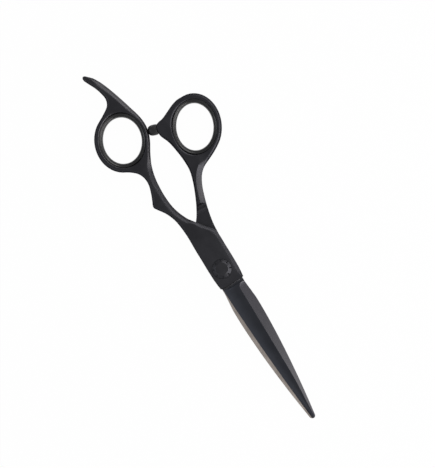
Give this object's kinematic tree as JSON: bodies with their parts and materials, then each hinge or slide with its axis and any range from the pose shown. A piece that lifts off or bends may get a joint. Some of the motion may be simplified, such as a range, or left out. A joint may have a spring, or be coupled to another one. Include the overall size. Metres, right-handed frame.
{
  "type": "hair cutting shears",
  "caption": "Barber's shears: crossed coated-steel halves with tapered ground blades, oval rings with soft inserts, a curved finger rest, a rubber bumper and a notched pivot screw.",
  "frame": {"origin": "on the pivot axis, at the back face that the closed shears lie on", "axes": "+X from the pivot along the closed blades to their tips, +Y from the pivot towards the thumb ring's side, +Z along the pivot axis from the back face to the screw head"},
  "size_m": [0.2126, 0.0653, 0.0073],
  "materials": {
    "black_steel": "satin black coating over forged steel, bare where the blades are ground",
    "insert_rubber": "smooth satin black",
    "bumper_rubber": "matt black",
    "screw_steel": "satin black coating over turned steel",
    "stud_steel": "turned",
    "spring_steel": "rolled, tempered",
    "nylon": "natural, off white"
  },
  "bodies": {
    "finger_half": {"finger_blade": "black_steel", "finger_insert": "insert_rubber", "friction_washer": "nylon", "disc_spring": "spring_steel", "blade_washer": "nylon"},
    "thumb_half": {"thumb_blade": "black_steel", "thumb_insert": "insert_rubber", "bumper": "bumper_rubber", "bumper_stud": "stud_steel", "pivot_nut": "screw_steel"},
    "tension_screw": {"pivot_screw": "screw_steel"}
  },
  "joints": [
    {"name": "pivot", "type": "hinge", "parent": "finger_half", "child": "thumb_half", "pos_m": [0, 0, 0.0034], "axis": [0, 0, -1], "range_deg": [0, 90]},
    {"name": "tension", "type": "hinge", "parent": "thumb_half", "child": "tension_screw", "pos_m": [0, 0, 0.0034], "axis": [0, 0, 1], "range_deg": [-90, 90]}
  ]
}
